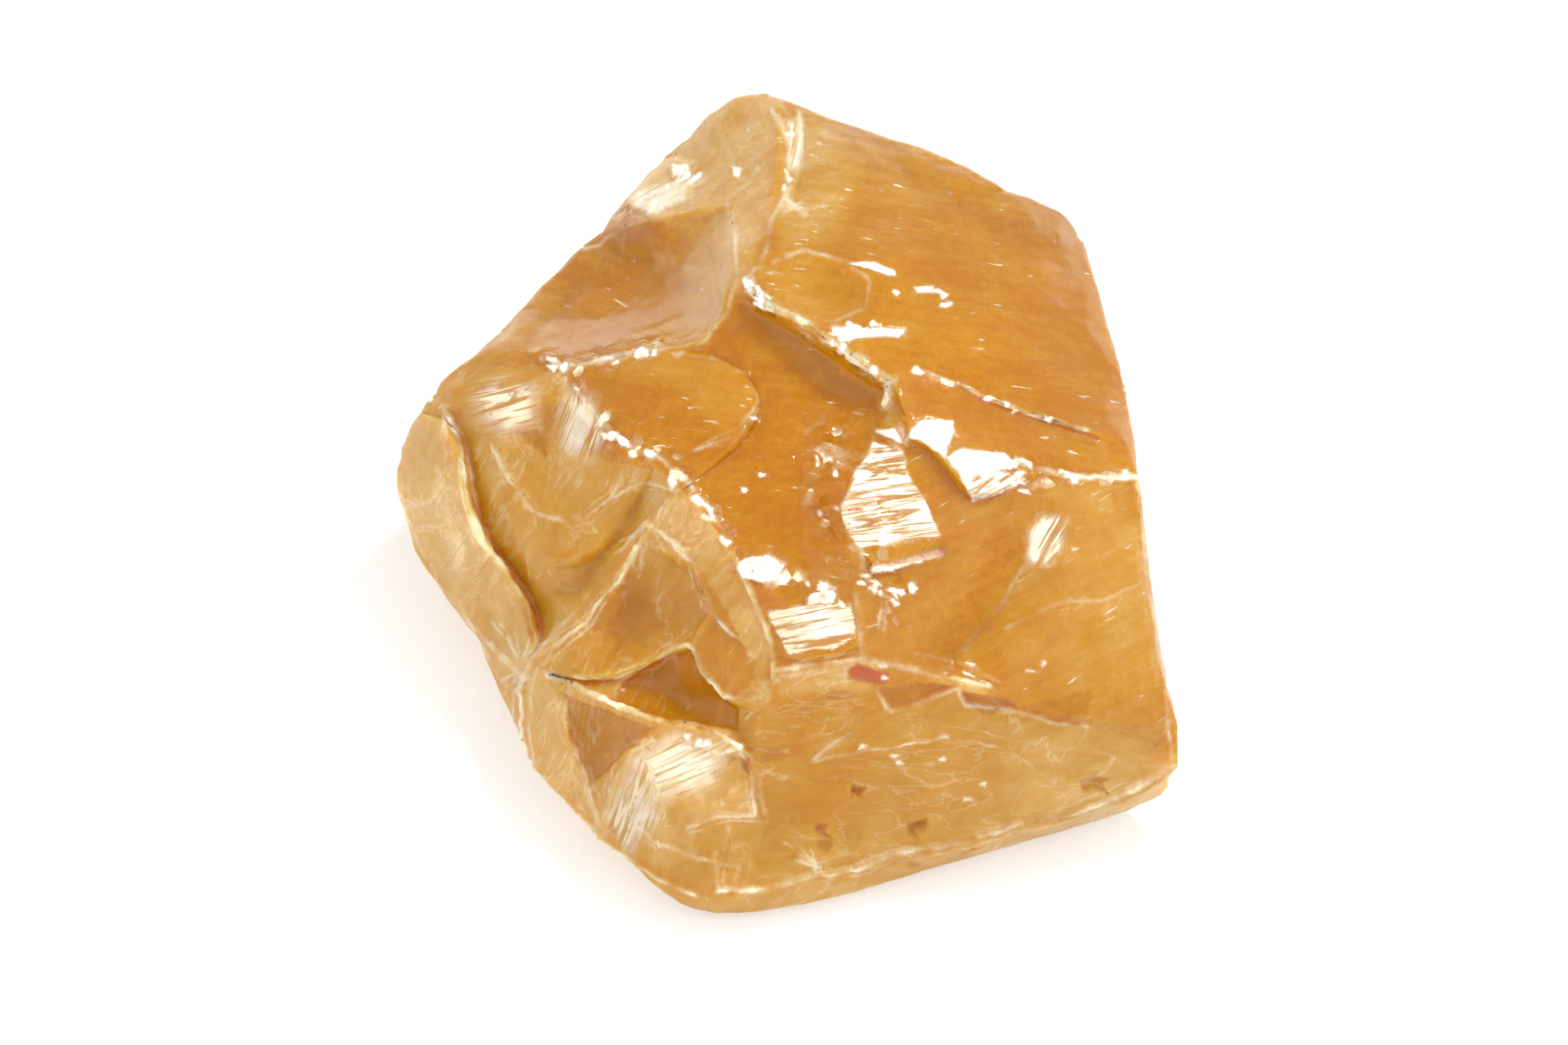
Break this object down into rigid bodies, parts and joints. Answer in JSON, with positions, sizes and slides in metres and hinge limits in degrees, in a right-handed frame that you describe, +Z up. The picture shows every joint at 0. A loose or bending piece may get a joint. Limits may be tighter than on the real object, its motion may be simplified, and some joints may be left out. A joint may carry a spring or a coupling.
{
  "type": "raw amber piece",
  "caption": "Rough unpolished lump of honey-coloured amber with broken shell-like faces, sharp ridges and small ledges, resting on a flat underside.",
  "frame": {"origin": "middle of the bounding box, on the surface that the lump rests on", "axes": "+Z up from the surface, +Y away from the side that the picture shows, +X to the right of it"},
  "size_m": [0.0666, 0.0746, 0.0376],
  "materials": {
    "amber": "translucent, glossy on fresh breaks and frosted on the worn ones"
  },
  "bodies": {
    "root": {"raw_amber": "amber"}
  },
  "joints": []
}
